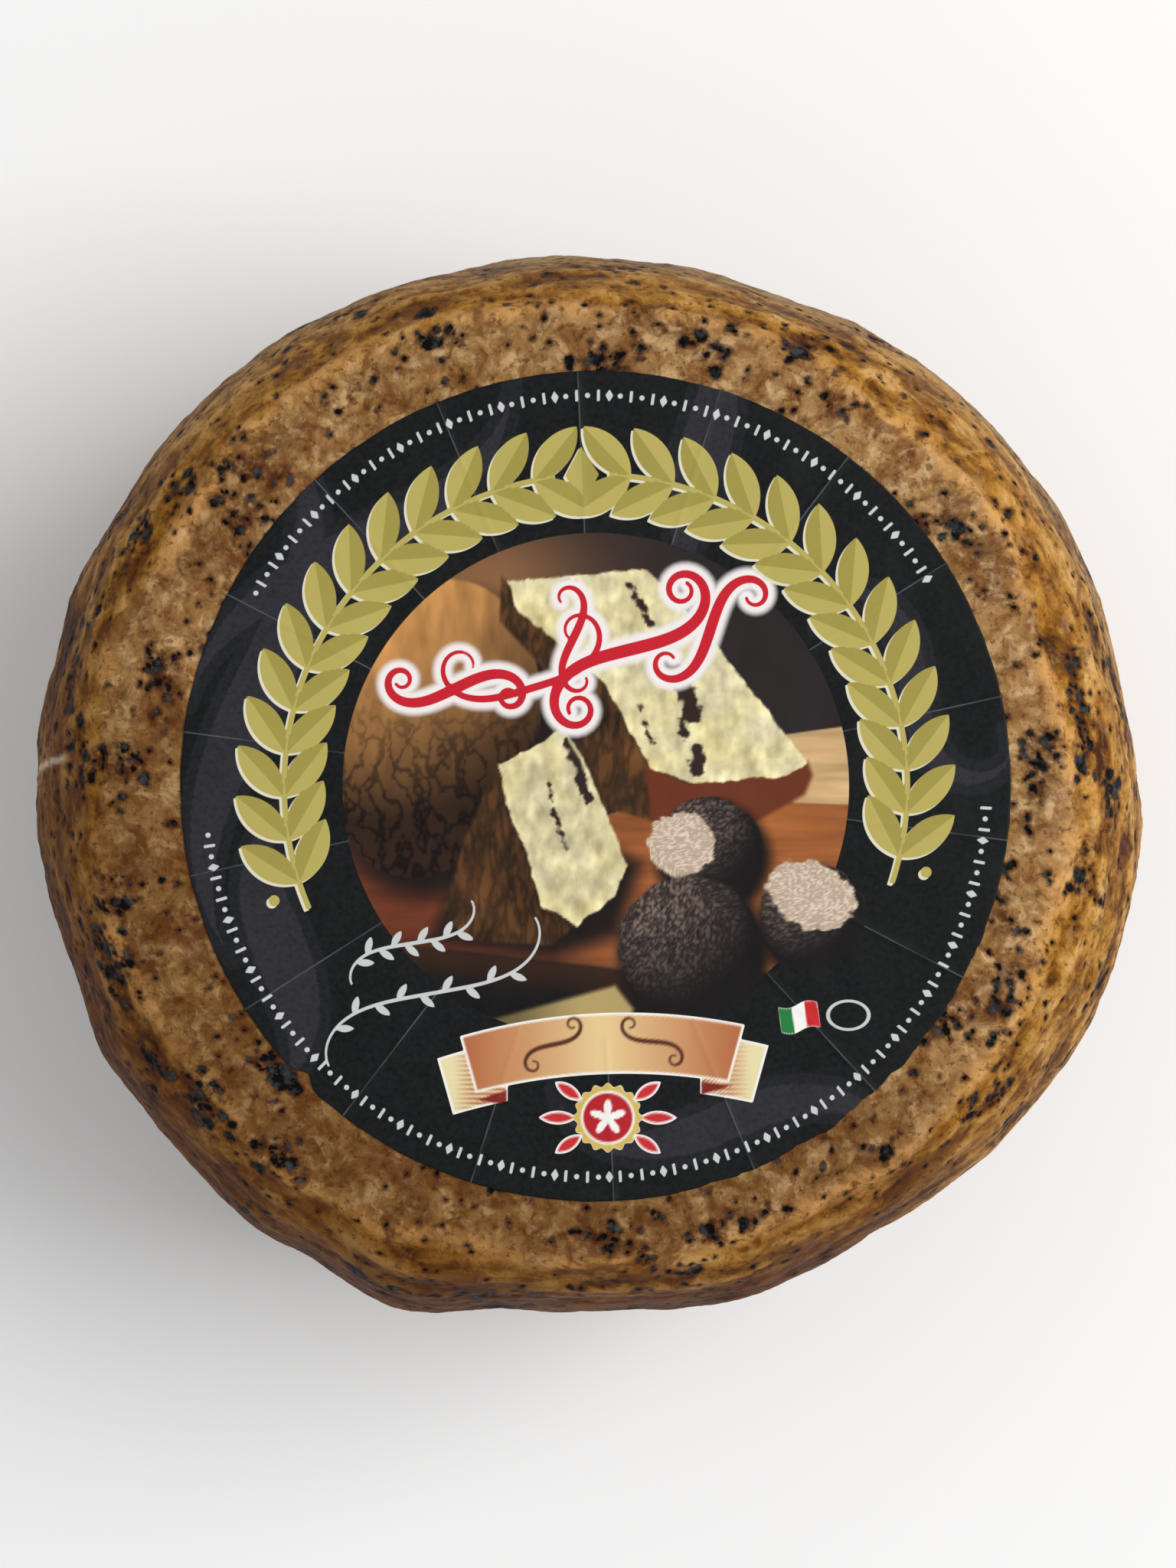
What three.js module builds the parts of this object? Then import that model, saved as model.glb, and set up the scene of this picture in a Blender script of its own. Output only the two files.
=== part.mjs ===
// A whole wheel of ripened ewe's-milk cheese with a round paper label on its top face.
//
// Millimetres, +Z up. The wheel lies flat, and the origin is the middle of its box, on the
// surface that it rests on. +X is the wheel's longest way across, and +Y is the top of the
// label's artwork. The two pieces are the wheel itself and its label.

import * as THREE from 'three';
import { mergeVertices } from 'three/addons/utils/BufferGeometryUtils.js';

// Driving dimensions
const WHEEL_WIDTH = 212; // along X, the longest way across
const WHEEL_DEPTH = 203; // along Y
const WHEEL_HEIGHT = 135;
const FACE_RADIUS = 80; // the flat round faces at the top and the bottom
const HEEL_POWER = 2.4; // how square the turn from face to side is: 2 is a plain quarter ellipse
const LABEL_RADIUS = 75.5;
const LABEL_THICKNESS = 0.3;
const LABEL_OFFSET = { x: 1.4, y: -0.2 }; // the label is stuck on a little off centre

// Fineness of the round shapes
const TURN_STEPS = 96; // around the wheel and the label
const HEEL_STEPS = 22; // from the rim of the bottom face, over the side, to the rim of the top face

// The outline is a circle with slow waves, from the cloth and mould it was pressed in.
// size is a share of the radius, and turn is in degrees.
const OUTLINE_WAVES = [
  { waves: 2, size: 0.021, turn: -5 },
  { waves: 3, size: 0.0085, turn: 25 },
  { waves: 4, size: 0.006, turn: 146 },
  { waves: 5, size: 0.002, turn: -167 },
  { waves: 6, size: 0.0025, turn: 70 },
  { waves: 9, size: 0.0015, turn: 30 },
];

// Shallow dents and swellings that wander over the side: size in millimetres, turn in degrees,
// and lean is how many degrees a swelling moves around from the middle of the side to a face.
const SIDE_LUMPS = [
  { waves: 4, size: 0.6, turn: 60, lean: 95 },
  { waves: 7, size: 0.3, turn: 200, lean: -140 },
  { waves: 11, size: 0.2, turn: 10, lean: 210 },
];

const COLOURS = {
  rind: 0x9a7038,
  label: 0x1a1e1f,
};

const SIDE_RADIUS = (WHEEL_WIDTH + WHEEL_DEPTH) / 4;

function wave(item, angle) {
  return item.size * Math.cos(item.waves * angle + THREE.MathUtils.degToRad(item.turn));
}

function outlineRadius(angle) {
  const waves = OUTLINE_WAVES.reduce((total, item) => total + wave(item, angle), 0);
  return SIDE_RADIUS * (1 + waves);
}

// heightShare runs from -1 at the bottom face to 1 at the top face.
function lumpHeight(angle, heightShare) {
  const lumps = SIDE_LUMPS.map((item) => {
    const lean = THREE.MathUtils.degToRad(item.lean) * heightShare;
    return wave(item, angle + lean / item.waves);
  });
  return lumps.reduce((total, height) => total + height, 0);
}

// One half of the wheel's upright section, from the middle of the bottom face to the middle of
// the top face: two flat faces, and a superellipse between them for heel, side and heel.
function wheelProfile() {
  const halfHeight = WHEEL_HEIGHT / 2;
  const reach = SIDE_RADIUS - FACE_RADIUS;
  const profile = [new THREE.Vector2(0, 0)];
  for (let step = 0; step <= HEEL_STEPS; step += 1) {
    const turn = Math.PI * (step / HEEL_STEPS - 0.5);
    const outward = Math.abs(Math.cos(turn)) ** (2 / HEEL_POWER);
    const upward = Math.sign(Math.sin(turn)) * Math.abs(Math.sin(turn)) ** (2 / HEEL_POWER);
    profile.push(new THREE.Vector2(FACE_RADIUS + reach * outward, halfHeight * (1 + upward)));
  }
  profile.push(new THREE.Vector2(0, WHEEL_HEIGHT));
  return profile;
}

// A closed body turned around the Z axis, with the vertices along its seam shared.
function turnedBody(profile) {
  const geometry = new THREE.LatheGeometry(profile, TURN_STEPS);
  geometry.rotateX(Math.PI / 2);
  geometry.deleteAttribute('normal');
  geometry.deleteAttribute('uv');
  return mergeVertices(geometry, 1e-3);
}

// Moves heel and side out to the wavy, lumpy outline and leaves the flat faces round.
function shapeSide(geometry) {
  const position = geometry.attributes.position;
  for (let index = 0; index < position.count; index += 1) {
    const x = position.getX(index);
    const y = position.getY(index);
    const radius = Math.hypot(x, y);
    if (radius > FACE_RADIUS) {
      const angle = Math.atan2(y, x);
      const heightShare = position.getZ(index) / (WHEEL_HEIGHT / 2) - 1;
      const sideRadius = outlineRadius(angle) + lumpHeight(angle, heightShare);
      const outward = (radius - FACE_RADIUS) / (SIDE_RADIUS - FACE_RADIUS);
      const stretch = (FACE_RADIUS + outward * (sideRadius - FACE_RADIUS)) / radius;
      position.setXY(index, x * stretch, y * stretch);
    }
  }
}

// The waves change the wheel's box a little, so it is brought back to its stated width and depth
// around the origin.
function fitToBox(geometry) {
  geometry.computeBoundingBox();
  const size = geometry.boundingBox.getSize(new THREE.Vector3());
  const middle = geometry.boundingBox.getCenter(new THREE.Vector3());
  geometry.translate(-middle.x, -middle.y, 0);
  geometry.scale(WHEEL_WIDTH / size.x, WHEEL_DEPTH / size.y, 1);
}

function makeCheeseWheel() {
  const geometry = turnedBody(wheelProfile());
  shapeSide(geometry);
  fitToBox(geometry);
  geometry.computeVertexNormals();
  const rind = new THREE.MeshStandardMaterial({ color: COLOURS.rind, roughness: 0.55 });
  const wheel = new THREE.Mesh(geometry, rind);
  wheel.name = 'cheese_wheel';
  return wheel;
}

function makePaperLabel() {
  const profile = [
    new THREE.Vector2(0, 0),
    new THREE.Vector2(LABEL_RADIUS, 0),
    new THREE.Vector2(LABEL_RADIUS, LABEL_THICKNESS),
    new THREE.Vector2(0, LABEL_THICKNESS),
  ];
  const geometry = turnedBody(profile);
  geometry.computeVertexNormals();
  const paper = new THREE.MeshStandardMaterial({ color: COLOURS.label, roughness: 0.6 });
  const label = new THREE.Mesh(geometry, paper);
  label.name = 'paper_label';
  label.position.set(LABEL_OFFSET.x, LABEL_OFFSET.y, WHEEL_HEIGHT);
  return label;
}

const cheese = new THREE.Group();
cheese.add(makeCheeseWheel(), makePaperLabel());

export default cheese;
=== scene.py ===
"""A whole wheel of ripened cheese with a round printed paper label, seen from straight above.

Lengths are in millimetres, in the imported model's frame, until a mesh, light or camera is made.
The rind and the label are each one closed mesh. What varies over them, such as the truffle
spots or the printed shapes, is worked out for each point of the mesh and kept on it as an
attribute, and the materials turn those attributes and procedural noise into colour and finish.
"""

import math

import bpy
import numpy as np
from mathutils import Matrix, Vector


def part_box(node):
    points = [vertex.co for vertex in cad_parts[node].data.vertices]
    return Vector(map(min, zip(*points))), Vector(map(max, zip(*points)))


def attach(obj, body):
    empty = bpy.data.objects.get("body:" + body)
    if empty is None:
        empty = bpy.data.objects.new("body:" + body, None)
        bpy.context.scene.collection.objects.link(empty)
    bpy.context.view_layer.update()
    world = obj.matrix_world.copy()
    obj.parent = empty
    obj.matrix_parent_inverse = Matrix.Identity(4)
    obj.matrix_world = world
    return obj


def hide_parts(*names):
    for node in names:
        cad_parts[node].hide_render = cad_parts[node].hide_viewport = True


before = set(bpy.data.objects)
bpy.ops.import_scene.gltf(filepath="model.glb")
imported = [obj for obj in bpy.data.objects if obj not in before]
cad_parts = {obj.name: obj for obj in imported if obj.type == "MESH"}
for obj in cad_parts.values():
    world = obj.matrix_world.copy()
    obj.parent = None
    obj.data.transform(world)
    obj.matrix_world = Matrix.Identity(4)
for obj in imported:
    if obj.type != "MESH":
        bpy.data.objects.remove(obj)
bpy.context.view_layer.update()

MM = 0.001
SEED = 11


# ---- sizes, from the frame


def box_mm(node):
    """A CAD node's lowest and highest corner, in millimetres."""
    low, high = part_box(node)
    return np.array(low) / MM, np.array(high) / MM


WHEEL_LOW, WHEEL_HIGH = box_mm("cheese_wheel")
LABEL_LOW, LABEL_HIGH = box_mm("paper_label")
WHEEL_SIZE = WHEEL_HIGH - WHEEL_LOW
LABEL_RADIUS = (LABEL_HIGH[0] - LABEL_LOW[0]) / 2
LABEL_CENTRE = (LABEL_LOW[:2] + LABEL_HIGH[:2]) / 2

# The wheel's shape, as the CAD has it
FACE_RADIUS = 80.0
HEEL_POWER = 2.4
SIDE_RADIUS = (WHEEL_SIZE[0] + WHEEL_SIZE[1]) / 4
# (waves around, share of the radius, turn in degrees)
OUTLINE_WAVES = (
    (2, 0.021, -5),
    (3, 0.0085, 25),
    (4, 0.006, 146),
    (5, 0.002, -167),
    (6, 0.0025, 70),
    (9, 0.0015, 30),
)
# (waves around, size, turn in degrees, lean in degrees from mid side to a face)
SIDE_LUMPS = ((4, 0.6, 60, 95), (7, 0.3, 200, -140), (11, 0.2, 10, 210))

# Single dents and swellings of the side, too small for the CAD: (turn in degrees, size, reach in
# degrees)
BUMPS = (
    (250, 3.6, 7),
    (240, -1.2, 4),
    (289, 2.6, 12),
    (151, -2.0, 8),
    (166, -1.1, 5),
    (68, -1.7, 11),
    (83, -1.2, 5),
    (224, -1.3, 6),
    (209, 1.9, 5),
    (337, 1.0, 6),
)

# The rind's own fine shape
COLUMNS = 1024
RING_STEP = 0.65  # between rings of points
CREST_PATH = 8.2  # how far outside a flat face's rim the raised crest of the heel runs
SPOT_FADE = 1.6  # how far around a spot its field still counts
BLOT_FADE = 4.0  # the same for the brown blots around a cluster
CLUSTER_COUNT = 735
CLUSTER_SPREADS = (0.6, 1.2, 2.2)  # how far apart a cluster's spots lie
SPREAD_SHARES = (0.4, 0.35, 0.25)  # how many of the clusters have each spread
CLUSTER_SCALES = (0.75, 1.2)  # the smallest and largest scale of a cluster's spots
LARGEST_SPOT = 1.5
SPECK_COUNT = 4270
SPECK_RADII = (0.12, 0.42)
LUMP_TURN = 225.0  # the large truffle lump that stands in the label's edge
LUMP_RADIUS = 75.5
LUMP_SPOTS = 16
# (turn in degrees, path from and to, half width, strength)
CRACKS = ((177.0, 20, 66, 1.1, 0.75), (88.0, 40, 60, 0.8, 0.4))
# painted shade on the rind is darkest at this turn, with a second, smaller place of it at the next
SHADE_TURN = 236.0  # degrees, the darkest side
SHADE_PATCH_TURN = 97.0  # a second, smaller dark place
SHEEN_TURN = 72.0  # the side with a painted pale sheen
UV_DISC = 56.0  # radius of the part of each flat face that the bake map holds as a disc
TOP_UV_SCALE = 0.7  # the top face's disc is drawn smaller, as the label covers it


# ---- repeatable noise

CORNERS = [(x, y, z) for x in (0, 1) for y in (0, 1) for z in (0, 1)]


def scrambled(cells, seed):
    """A repeatable whole number below 2**32 for each lattice cell."""
    mixed = cells[..., 0] * np.uint32(0x8DA6B343)
    mixed ^= cells[..., 1] * np.uint32(0xD8163841)
    mixed ^= cells[..., 2] * np.uint32(0xCB1AB31F)
    mixed ^= np.uint32(seed * 0x9E3779B1 % 2**32)
    for shift, factor in ((15, 0x85EBCA6B), (13, 0xC2B2AE35)):
        mixed ^= mixed >> np.uint32(shift)
        mixed *= np.uint32(factor)
    return mixed ^ (mixed >> np.uint32(16))


def noise(points, size, seed):
    """Smooth noise from about -1 to 1, with features about size millimetres across."""
    places = (points / size).astype(np.float32)
    low = np.floor(places)
    inside = places - low
    cells = low.astype(np.int64).astype(np.uint32)
    fade = inside**3 * (inside * (inside * 6 - 15) + 10)
    total = np.zeros(points.shape[:-1], np.float32)
    for corner in CORNERS:
        offset = np.array(corner)
        bits = scrambled(cells + offset.astype(np.uint32), seed)
        slope = [(bits >> np.uint32(shift) & np.uint32(1023)) / 511.5 - 1 for shift in (0, 10, 20)]
        weight = np.where(offset == 1, fade, 1 - fade).prod(axis=-1)
        total += weight * sum((inside[..., axis] - offset[axis]) * slope[axis] for axis in range(3))
    return total * 1.5


def fractal(points, size, seed, octaves=4):
    """Noise with finer, fainter noise on top of it."""
    return sum(noise(points, size / 2**octave, seed + octave) / 2**octave for octave in range(octaves))


def smooth(value, low, high):
    """0 below low, 1 above high, and an even S between them. low may be the larger one."""
    share = np.clip((value - low) / (high - low), 0, 1)
    return share * share * (3 - 2 * share)


# ---- meshes and materials


def linear(colour):
    """Colours as shares of light, from screen values of 0 to 255."""
    share = np.clip(colour, 0, 255) / 255
    return np.where(share <= 0.04045, share / 12.92, ((share + 0.055) / 1.055) ** 2.4)


def mesh_piece(name, places, faces, corner_uv, material):
    """A piece made of points in millimetres and arrays of faces that each have one number of corners."""
    data = bpy.data.meshes.new(name)
    corners = np.concatenate([group.ravel() for group in faces]).astype(np.int32)
    sizes = np.concatenate([np.full(len(group), group.shape[1]) for group in faces])
    starts = np.concatenate(([0], np.cumsum(sizes)[:-1])).astype(np.int32)
    data.vertices.add(len(places))
    data.vertices.foreach_set("co", (places * MM).astype(np.float32).ravel())
    data.loops.add(len(corners))
    data.loops.foreach_set("vertex_index", corners)
    data.polygons.add(len(starts))
    data.polygons.foreach_set("loop_start", starts)
    data.update(calc_edges=True)
    data.shade_smooth()
    layer = data.uv_layers.new(name="OFBake")
    layer.data.foreach_set("uv", corner_uv.astype(np.float32).ravel())
    data.materials.append(material)
    piece = bpy.data.objects.new(name, data)
    bpy.context.scene.collection.objects.link(piece)
    return piece


def keep_number(piece, name, values):
    made = piece.data.attributes.new(name, "FLOAT", "POINT")
    made.data.foreach_set("value", values.astype(np.float32).ravel())


def keep_colour(piece, name, colours):
    made = piece.data.color_attributes.new(name, "FLOAT_COLOR", "POINT")
    opaque = np.ones((len(colours), 1))
    made.data.foreach_set("color", np.hstack([colours, opaque]).astype(np.float32).ravel())


class Shader:
    """One material's nodes, with a short call for each kind that is used here. A plain colour is
    a tuple of 0 to 255."""

    def __init__(self, name):
        self.material = bpy.data.materials.new(name)
        self.material.use_nodes = True
        self.tree = self.material.node_tree
        self.surface = self.tree.nodes["Principled BSDF"]
        self.layers = (0, 0, 0)  # the colour that has been laid so far

    def put(self, socket, value):
        if isinstance(value, bpy.types.NodeSocket):
            self.tree.links.new(value, socket)
        elif isinstance(value, tuple):
            socket.default_value = (*linear(value), 1.0)
        else:
            socket.default_value = value

    def set(self, **values):
        """Sets the surface's own sockets, named with _ for a space."""
        for name, value in values.items():
            self.put(self.surface.inputs[name.replace("_", " ")], value)

    def node(self, kind, values, **settings):
        """A node with settings of its own, and a value for each of the inputs that are named."""
        made = self.tree.nodes.new("ShaderNode" + kind)
        for name, setting in settings.items():
            setattr(made, name, setting)
        for socket, value in values.items():
            self.put(made.inputs[socket], value)
        return made

    def number(self, name):
        return self.node("Attribute", {}, attribute_name=name).outputs["Fac"]

    def colour(self, name):
        return self.node("Attribute", {}, attribute_name=name).outputs["Color"]

    def noise(self, size, detail=4, roughness=0.55, warp=0.0):
        """Noise from 0 to 1 with features about size millimetres across."""
        values = {
            "Vector": self.node("TexCoord", {}).outputs["Object"],
            "Scale": 1 / (size * MM),
            "Detail": detail,
            "Roughness": roughness,
            "Distortion": warp,
        }
        return self.node("TexNoise", values).outputs["Fac"]

    def math(self, operation, first, second=0.0):
        return self.node("Math", {0: first, 1: second}, operation=operation).outputs[0]

    def times(self, first, second):
        return self.math("MULTIPLY", first, second)

    def plus(self, first, second):
        return self.math("ADD", first, second)

    def step(self, value, low, high, start=0.0, end=1.0):
        """start below low, end above high, and an even S between them."""
        values = dict(enumerate((value, low, high, start, end)))
        return self.node("MapRange", values, interpolation_type="SMOOTHSTEP").outputs[0]

    def ramp(self, share, *stops):
        """A colour for share, from stops of a place and a colour as 0 to 255."""
        made = self.node("ValToRGB", {"Fac": share})
        elements = made.color_ramp.elements
        while len(elements) < len(stops):
            elements.new(0.5)
        for element, (place, *colour) in zip(elements, stops):
            element.position = place
            element.color = (*linear(colour), 1.0)
        return made.outputs["Color"]

    def mix(self, share, first, second, blend="MIX"):
        values = {0: share, 6: first, 7: second}
        return self.node("Mix", values, data_type="RGBA", blend_type=blend).outputs[2]

    def cover(self, share, colour, strength=1.0, blend="MIX"):
        """Lays a colour over what the surface has so far."""
        self.layers = self.mix(self.times(share, strength), self.layers, colour, blend)

    def bump(self, height, distance, strength):
        """Fine relief, with distance in millimetres for a height of 1."""
        values = {"Height": height, "Distance": distance * MM, "Strength": strength}
        return self.node("Bump", values).outputs["Normal"]


# ---- the wheel's smooth shape


def profile_rings():
    """The radius, height and path of each ring of points, from the middle of the bottom face up
    to the middle of the top face. path is how far the ring is outside a flat face's rim, and is
    negative on the face."""
    height = WHEEL_SIZE[2]
    turn = np.linspace(-math.pi / 2, math.pi / 2, 4001)
    power = 2 / HEEL_POWER
    radius = FACE_RADIUS + (SIDE_RADIUS - FACE_RADIUS) * np.cos(turn).clip(0) ** power
    upward = height / 2 * (1 + np.sign(turn) * np.abs(np.sin(turn)) ** power)
    path = np.concatenate(([0], np.hypot(np.diff(radius), np.diff(upward)).cumsum()))
    stops = np.linspace(0, path[-1], round(path[-1] / RING_STEP))
    outside = np.minimum(stops, path[-1] - stops)

    bottom = np.arange(6 * RING_STEP, FACE_RADIUS, RING_STEP)
    rim = np.arange(FACE_RADIUS - RING_STEP, LABEL_RADIUS - 6, -RING_STEP)
    covered = np.linspace(LABEL_RADIUS - 8, 4, 12)  # far apart, as the label covers them
    top = np.concatenate([rim, covered])
    radii = np.concatenate([bottom, np.interp(stops, path, radius), top])
    heights = np.concatenate([0 * bottom, np.interp(stops, path, upward), 0 * top + height])
    paths = np.concatenate([bottom - FACE_RADIUS, outside, top - FACE_RADIUS])
    return radii, heights, paths


def side_radius(angle, height_share):
    """The radius of the side at an angle, with its slow waves and shallow lumps."""
    radius = SIDE_RADIUS * np.ones(np.broadcast(angle, height_share).shape)
    for waves, size, turn in OUTLINE_WAVES:
        radius += SIDE_RADIUS * size * np.cos(waves * angle + math.radians(turn))
    for waves, size, turn, lean in SIDE_LUMPS:
        radius += size * np.cos(waves * angle + math.radians(turn) + math.radians(lean) * height_share)
    for turn, size, reach in BUMPS:
        away = np.degrees(angle) - turn
        radius += size * np.exp(-((away / reach) ** 2) - (0.8 * height_share) ** 2)
    return radius


def smooth_wheel(radius, height, angle):
    """Points of the smooth wheel, as rings by columns, fitted to the CAD node's box."""
    share = (height / (WHEEL_SIZE[2] / 2) - 1)[:, None]
    outward = ((radius - FACE_RADIUS) / (SIDE_RADIUS - FACE_RADIUS))[:, None]
    side = FACE_RADIUS + outward * (side_radius(angle, share) - FACE_RADIUS)
    shaped = np.where(outward > 0, side, radius[:, None])
    places = np.dstack([shaped * np.cos(angle), shaped * np.sin(angle), 0 * shaped + height[:, None]])
    for axis in (0, 1):
        low, high = places[:, :, axis].min(), places[:, :, axis].max()
        places[:, :, axis] = (places[:, :, axis] - (low + high) / 2) * WHEEL_SIZE[axis] / (high - low)
        places[:, :, axis] += (WHEEL_LOW[axis] + WHEEL_HIGH[axis]) / 2
    places[:, :, 2] += WHEEL_LOW[2]
    return places


def grid_normals(places):
    """The outward direction at each point of rings that close on themselves."""
    around = np.roll(places, -1, axis=1) - np.roll(places, 1, axis=1)
    along = np.gradient(places, axis=0)
    normal = np.cross(around, along)
    return normal / np.linalg.norm(normal, axis=2, keepdims=True)


# ---- the rind's relief


def unevenness(points):
    """The slow rise and fall of the whole surface. The label follows it too."""
    return 0.4 * fractal(points, 26, SEED + 10, 3)


def scatter(places, paths):
    """Truffle spots in clusters and single specks, and two blots for each cluster, as (ring,
    column, radius)."""
    random = np.random.default_rng(SEED)
    step, rise = spacing(places)
    above = places[:, 0, 2] > WHEEL_SIZE[2] / 2
    covered = above & (paths < LABEL_RADIUS - FACE_RADIUS - 4)
    chance = step * rise * ~covered
    chance /= chance.sum()
    turn = np.arange(COLUMNS) * 2 * math.pi / COLUMNS
    sides = 1 + 0.45 * np.cos(2 * turn) - 0.25 * np.cos(turn - 0.5)
    sides /= sides.sum()

    def near(ring, column, spread):
        """A place close to another one, spread wider around the wheel than up it."""
        aside, upward = random.normal(0, spread, 2)
        ring = int(np.clip(ring + upward / rise[ring], 0, len(chance) - 1))
        return ring, int(column + 1.5 * aside / step[ring]) % COLUMNS

    spots, blots = [], []
    for ring in random.choice(len(chance), CLUSTER_COUNT, p=chance):
        column = random.choice(COLUMNS, p=sides)
        spread = random.choice(CLUSTER_SPREADS, p=SPREAD_SHARES)
        scale = random.uniform(*CLUSTER_SCALES)
        for _ in range(1 + random.poisson(4.2 * spread**1.4)):
            radius = scale * random.lognormal(-0.68, 0.38)
            spots.append((*near(ring, column, spread), min(radius, LARGEST_SPOT)))
        for _ in range(2):
            blots.append((*near(ring, column, spread * 0.6), spread * 0.9))
    for ring in random.choice(len(chance), SPECK_COUNT, p=chance):
        spots.append((ring, random.integers(COLUMNS), random.uniform(*SPECK_RADII)))

    lump_ring = np.flatnonzero(above & (paths > LUMP_RADIUS - FACE_RADIUS))[-1]
    for _ in range(LUMP_SPOTS):
        spots.append((*near(lump_ring, int(LUMP_TURN / 360 * COLUMNS), 0.9), 1.2))
    return spots, blots


def spacing(places):
    """The distance from point to point around each ring, and from ring to ring."""
    step = np.linalg.norm(places - np.roll(places, 1, axis=1), axis=2).mean(axis=1)
    rise = np.linalg.norm(np.gradient(places, axis=0), axis=2).mean(axis=1)
    return step, rise


def spot_field(places, spots, fade):
    """How deep each point is inside a spot, in millimetres, and negative around the spots."""
    step, rise = spacing(places)
    depth = np.full(places.shape[:2], -fade)
    rings = len(places)
    for ring, column, radius in spots:
        reach = radius + fade
        tall = int(reach / rise[ring]) + 1
        wide = min(int(reach / step[ring]) + 1, COLUMNS // 12)
        rows = np.arange(max(ring - tall, 0), min(ring + tall + 1, rings))
        columns = np.arange(column - wide, column + wide + 1) % COLUMNS
        window = np.ix_(rows, columns)
        distance = np.linalg.norm(places[window] - places[ring, column], axis=2)
        depth[window] = np.maximum(depth[window], radius - distance)
    return depth


def cracks(path, above, angle):
    """Short pale cracks in the rind's coat, in the upper half of the side."""
    depth = np.zeros(path.shape)
    for turn, first, last, half_width, weight in CRACKS:
        curve = math.radians(turn) + 0.0012 * (path - first)
        away = np.abs((angle - curve) * SIDE_RADIUS)
        within = above * smooth(path, first - 3, first + 3) * smooth(path, last + 3, last - 3)
        depth = np.maximum(depth, weight * within * smooth(away, half_width, 0.2 * half_width))
    return depth


def rind_relief(places, paths, angle):
    """Everything that varies over the rind: its height above the smooth wheel and what the
    material reads."""
    path = np.broadcast_to(paths[:, None], places.shape[:2])
    unrolled = np.dstack([places[:, :, :2], path * 3.2])
    level = unrolled * [1, 1, 0]

    crest_line = CREST_PATH + 4.0 * fractal(level, 34, SEED, 2)
    face = smooth(path, crest_line + 2.2, crest_line - 2.2)
    crest = np.exp(-(((path - crest_line) / 2.0) ** 2)) * smooth(fractal(level, 20, SEED + 40, 2), -0.7, 0.4)

    curd = fractal(places, 4.6, SEED + 20, 3)
    fine = fractal(places, 1.9, SEED + 30, 2)
    wrinkle = 1 - np.abs(fractal(places + 40, 6.5, SEED + 50, 3)) * 2.4
    streak = fractal(unrolled, 15, SEED + 60, 4)
    dent = fractal(places, 17, SEED + 80, 2)

    on_face = 0.36 * curd + 0.16 * fine - 0.35 * wrinkle.clip(0) ** 4
    on_side = 0.34 * streak + 0.08 * fine + 0.12 * curd + 0.7 * dent
    height = face * on_face + (1 - face) * on_side + 0.8 * crest

    # painted shade: darker towards the lower left side and in a smaller patch at the top, more on the outer
    # side than on the face, less on the crest
    turned = np.cos(angle - math.radians(SHADE_TURN))
    painted_shade = smooth(turned + 0.5 * fractal(places, 30, SEED + 90, 2), -0.5, 1.0)
    painted_shade += 0.3 * np.exp(-(((angle - math.radians(SHADE_PATCH_TURN)) / 0.6) ** 2))
    painted_shade *= (0.68 + 0.54 * smooth(path, 8, 36)) * (1 - 0.4 * crest) * smooth(path, -60, -5)
    # painted sheen: a pale greyish veil on the upper right side
    painted_sheen = smooth(np.cos(angle - math.radians(SHEEN_TURN)), 0.1, 0.9) * smooth(path, 16, 46)

    spots, blots = scatter(places, paths)
    ragged = fractal(places, 1.9, SEED + 70, 2)
    spot = spot_field(places, spots, SPOT_FADE) + 0.5 * ragged
    blot = spot_field(places, blots, BLOT_FADE) + 1.3 * curd
    return {
        "height": height - 0.2 * smooth(spot, -0.5, 0.4),
        "face": face,
        "crest": crest,
        "wrinkle": wrinkle,
        "streak": streak,
        "painted_shade": painted_shade,
        "painted_sheen": painted_sheen,
        "crack": cracks(path, places[:, :, 2] > WHEEL_SIZE[2] / 2, angle),
        "spot": spot,
        "blot": blot,
    }


def settle(places, normals, height):
    """Moves the smooth wheel's points out to the rind. It stays level under the label, and
    nothing reaches below the surface that the wheel lies on."""
    across = np.hypot(places[:, :, 0] - LABEL_CENTRE[0], places[:, :, 1] - LABEL_CENTRE[1])
    on_top = places[:, :, 2] > WHEEL_HIGH[2] - 1
    covered = on_top & (across < LABEL_RADIUS + 4)
    free = np.where(covered, smooth(across, LABEL_RADIUS - 0.5, LABEL_RADIUS + 4), 1)
    moved = places + normals * (height * free + unevenness(places))[:, :, None]
    moved[:, :, 2] = moved[:, :, 2].clip(WHEEL_LOW[2])
    return moved


# ---- the rind's mesh


def grid_faces(rings, columns):
    """Quads between rings of points, and the fans that close the first and the last ring."""
    index = np.arange(rings * columns).reshape(rings, columns)
    after = np.roll(index, -1, axis=1)
    quads = np.stack([index[:-1], after[:-1], after[1:], index[1:]], axis=2).reshape(-1, 4)
    start = np.full(columns, rings * columns)
    first_fan = np.stack([start, after[0], index[0]], axis=1)
    last_fan = np.stack([start + 1, index[-1], after[-1]], axis=1)
    return quads, np.concatenate([first_fan, last_fan])


def make_rind(material):
    radius, height, paths = profile_rings()
    angle = np.arange(COLUMNS) * 2 * math.pi / COLUMNS
    smooth_places = smooth_wheel(radius, height, angle)
    relief = rind_relief(smooth_places, paths, angle)
    places = settle(smooth_places, grid_normals(smooth_places), relief.pop("height"))

    quads, fans = grid_faces(len(radius), COLUMNS)
    middles = [[0, 0, WHEEL_LOW[2]], [0, 0, WHEEL_HIGH[2]]]
    points = np.concatenate([places.reshape(-1, 3), middles])
    uv = unwrap_rind(quads, fans, radius, paths, spacing(smooth_places)[1])
    piece = mesh_piece("cheese_rind", points, [quads, fans], uv, material)
    for name, values in relief.items():
        keep_number(piece, name, np.append(values.ravel(), [0, 0]))
    return piece


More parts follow.
